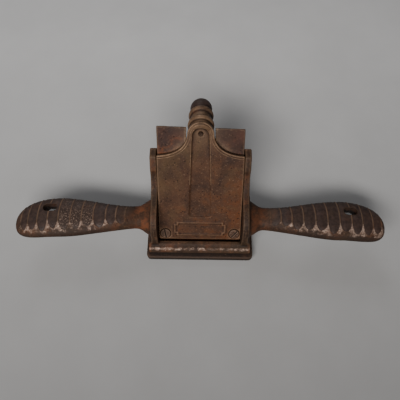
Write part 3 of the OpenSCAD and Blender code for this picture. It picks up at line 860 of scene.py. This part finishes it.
# %% Sole plate
sole = iron_skin(merged_copy("sole_skin", "sole_plate"), 0.6, 3, swell=0.06, grit=0.03, pits=0.06, seed=5)
sole_low, sole_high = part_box("sole_plate")
write_points(sole.data, np.clip(read_points(sole.data), np.array(sole_low), np.array(sole_high)))
sole.data.materials.append(sole_iron)
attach(sole, "body")
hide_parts("sole_plate")

# %% Cutter
blade = iron_skin(merged_copy("cutter_skin", "cutter"), 0.5, 2, swell=0.03, grit=0.02, pits=0.05, seed=9)
blade_across, blade_up = bed_places(read_points(blade.data)).T[:2]
beside = np.exp(-np.maximum(0, np.abs(blade_across) - 11 - 1.1 * np.maximum(0, 100 - blade_up)) / 3.5)
store(blade.data, "worn", 1.1 * beside * fade(blade_up, 84, 90))
blade.data.materials.append(cutter_steel)
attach(blade, "cutter")
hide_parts("cutter")

# %% [markdown]
# ## The cap
#
# The cap's sunk channel has melted edges, deepest at the top and almost gone
# at its lower end. Thin raised beads run along the shoulders and up round the
# tongue. A bead follows a path, so Geometry Nodes lay a tube along it, half
# buried in the face and thinner towards its ends.

# %% Cap


def channel_melt(points):
    across, up, out = bed_places(points).T
    near = (1 - fade(np.abs(across), 10.5, 13)) * fade(up, 28, 31) * (1 - fade(up, 108, 110))
    return near * fade(out, 2, 3) * (1 - 0.45 * fade(up, 60, 100))


cap = iron_skin(merged_copy("cap_skin", "cap_plate"), 0.44, 2, swell=0.05, grit=0.03, pits=0.09, seed=12,
                melt=channel_melt)

across, up, out = bed_places(read_points(cap.data)).T
store(cap.data, "worn", 0.5 * fade(up, 82, 104) + 0.4 * fade(up, 104, 112))
cap.data.materials.append(cap_iron)

# %% Beads of the cap
CAP_HALF, CAP_FACE, STUD_UP, TONGUE_R, SHOULDER = 35.075, 5.0, 103.4, 10.6, 86.7


def shoulder_path(inset):
    """Half of the cap's upper edge, from the side up to the top of the tongue."""
    a, m, b = (np.array(p) for p in ((CAP_HALF - 1, SHOULDER), (TONGUE_R + 2.4, SHOULDER + 1.5),
                                     (TONGUE_R, STUD_UP - 0.5)))
    u = np.linspace(0, 1, 28)[:, None]
    curve = (1 - u) ** 2 * a + 2 * u * (1 - u) * m + u ** 2 * b
    turn = np.linspace(0.1, math.pi / 2, 12)
    round_end = np.stack([TONGUE_R * np.cos(turn), STUD_UP + TONGUE_R * np.sin(turn)], axis=1)
    path = np.concatenate([[[CAP_HALF - 0.6, SHOULDER]], curve, round_end])
    ahead = np.gradient(path, axis=0)
    side = np.stack([ahead[:, 1], -ahead[:, 0]], axis=1) / np.linalg.norm(ahead, axis=1)[:, None]
    inner = path - side * inset
    inner = inner[inner[:, 0] > 0.2]
    return np.concatenate([inner, inner[::-1] * [-1, 1]])


def channel_path():
    turn = np.linspace(0, math.pi, 20)
    top_r = TONGUE_R - 3.8 + 0.5
    arch = np.stack([top_r * np.cos(turn), STUD_UP - 1 + top_r * np.sin(turn)], axis=1)
    return np.concatenate([[[top_r + 1.3, 62]], arch, [[-top_r - 1.3, 62]]])


print("shoulder path has", len(shoulder_path(0.7)), "points")

# %% A tube along a path


def path_object(name, path):
    bm = bmesh.new()
    dots = [bm.verts.new(on_bed(x, up, CAP_FACE)) for x, up in path]
    for one, other in zip(dots, dots[1:]):
        bm.edges.new((one, other))
    return object_from(name, bm)


def bead_tree():
    tree, size, ends = new_tree("cap bead", {"Radius": "Float", "Step": "Float", "Finish": "Material"})
    line = add(tree, "GeometryNodeMeshToCurve", {0: size["Geometry"]}).outputs[0]
    line = add(tree, "GeometryNodeResampleCurve", {"Curve": line, "Length": size["Step"]},
               mode="LENGTH").outputs[0]
    part = add(tree, "GeometryNodeSplineParameter").outputs["Factor"]
    from_end = sums(tree, "MINIMUM", part, sums(tree, "SUBTRACT", 1.0, part))
    thin = ramp(tree, from_end, 0.0, 0.06, 0.35, 1.0)
    line = add(tree, "GeometryNodeSetCurveRadius", {"Curve": line, "Radius": thin}).outputs[0]
    ring = add(tree, "GeometryNodeCurvePrimitiveCircle",
               {"Resolution": 12, "Radius": size["Radius"]}).outputs[0]
    tube = add(tree, "GeometryNodeCurveToMesh",
               {"Curve": line, "Profile Curve": ring, "Fill Caps": True}).outputs[0]
    finish_tree(tree, ends, tube, size["Finish"])
    return tree


def bead(name, path, radius, tree):
    o = path_object(name, path)
    run_tree(o, tree, {"Radius": radius * MM, "Step": 0.6 * MM, "Finish": cap_iron})
    mesh = o.data
    face_outward(mesh)
    points = read_points(mesh)
    write_points(mesh, points + read_normals(mesh) * foundry_relief(points, 0.05, 0.10, 0)[:, None] * MM)
    store(mesh, "worn", np.full(len(points), 0.95))
    store(mesh, "wear", np.full(len(points), 0.3))
    mesh.shade_smooth()
    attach(o, "cap")
    print(name, len(points), "points")
    return o


# %% The cap's three beads
cap_bead = bead_tree()
bead("cap_edge_bead", shoulder_path(0.7), 0.62, cap_bead)
bead("cap_inner_bead", shoulder_path(2.5), 0.40, cap_bead)
bead("channel_rim_bead", channel_path(), 0.30, cap_bead)

# %% [markdown]
# ## Knob, washer and pressure screws
#
# These are turned parts, so they get finer voxels and hardly any foundry
# swell. The two screws are small and sharp: the finest voxels keep their slots.

# %% Knob and washer
knob = iron_skin(merged_copy("knob_skin", "clamp_knob"), 0.3, 4, swell=0.03, grit=0.02, pits=0.03, seed=2)
knob.data.materials.append(knob_iron)
washer = iron_skin(merged_copy("washer_skin", "clamp_washer"), 0.22, 3, swell=0.02, grit=0.015, pits=0)
washer.data.materials.append(stud_steel)
for piece, body, node, finish in ((cap, "cap", "cap_plate", "cap_iron"),
                                  (knob, "knob", "clamp_knob", "knob_iron"),
                                  (washer, "body", "clamp_washer", "stud_steel")):
    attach(piece, body)
    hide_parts(node)

# %% Pressure screws
for side in ("left", "right"):
    screw = iron_skin(merged_copy(side + "_screw_skin", side + "_pressure_screw"), 0.17, 3,
                      swell=0.02, grit=0.015, pits=0.03, reach=0.6, seed=4)
    screw.data.materials.append(screw_steel)
    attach(screw, side + "_screw")
    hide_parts(side + "_pressure_screw")

# %% [markdown]
# ## Screws under the sole
#
# Four equal screws hold the sole plate. One is taken from the frame, brought
# to the origin, and Geometry Nodes place it on four points.

# %% Sole screws
all_screws = merged_copy("screw_pattern", "sole_screws")
pattern_bm = bmesh.new()
pattern_bm.from_mesh(all_screws.data)
corners = [Vector((x, y)) for x in (-1, 1) for y in (-1, 1)]
places = []
for corner in corners:
    mine = [v.co for v in pattern_bm.verts if v.co.x * corner.x > 0 and v.co.y * corner.y > 0]
    centre = [(min(c[k] for c in mine) + max(c[k] for c in mine)) / 2 for k in (0, 1)]
    places.append(Vector(centre + [0]))
others = [v for v in pattern_bm.verts if v.co.x < 0 or v.co.y < 0]
bmesh.ops.delete(pattern_bm, geom=others, context="VERTS")
bmesh.ops.translate(pattern_bm, verts=pattern_bm.verts, vec=-places[-1])
pattern_bm.to_mesh(all_screws.data)
pattern_bm.free()

point_bm = bmesh.new()
for place in places:
    point_bm.verts.new(place)
screw_set = object_from("sole_screw_set", point_bm)
screw_tree, size, ends = new_tree("screws on points",
                                  {"Screw": "Object", "Scale": "Float", "Finish": "Material"})
one_screw = add(screw_tree, "GeometryNodeObjectInfo", {"Object": size["Screw"]}).outputs["Geometry"]
placed = add(screw_tree, "GeometryNodeInstanceOnPoints", {
    "Points": size["Geometry"], "Instance": one_screw, "Scale": size["Scale"]}).outputs[0]
finish_tree(screw_tree, ends, placed, size["Finish"])
run_tree(screw_set, screw_tree, {"Screw": all_screws, "Scale": 1.0, "Finish": screw_steel})
bpy.data.objects.remove(all_screws)
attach(screw_set, "body")
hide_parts("sole_screws")
print(screw_set.name, len(screw_set.data.vertices), "points")

# %% [markdown]
# ## The stud, and the size at the end
#
# The stud's own solid is already right: a plain turned pin, of which only the
# end shows. It stays as it is and only gets a better material. At the end the
# box of the whole tool is printed beside the frame's.

# %% Material of the stud
stud_mesh = frame["nodes"]["clamp_stud"].data
stud_mesh.materials.clear()
stud_mesh.materials.append(stud_steel)
print("stud keeps its", len(stud_mesh.polygons), "faces")

# %% Sizes
for label, (low, high) in (("frame", cad_box), ("skin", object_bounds())):
    print(label, "box in mm", [round((b - a) / MM, 2) for a, b in zip(low, high)])
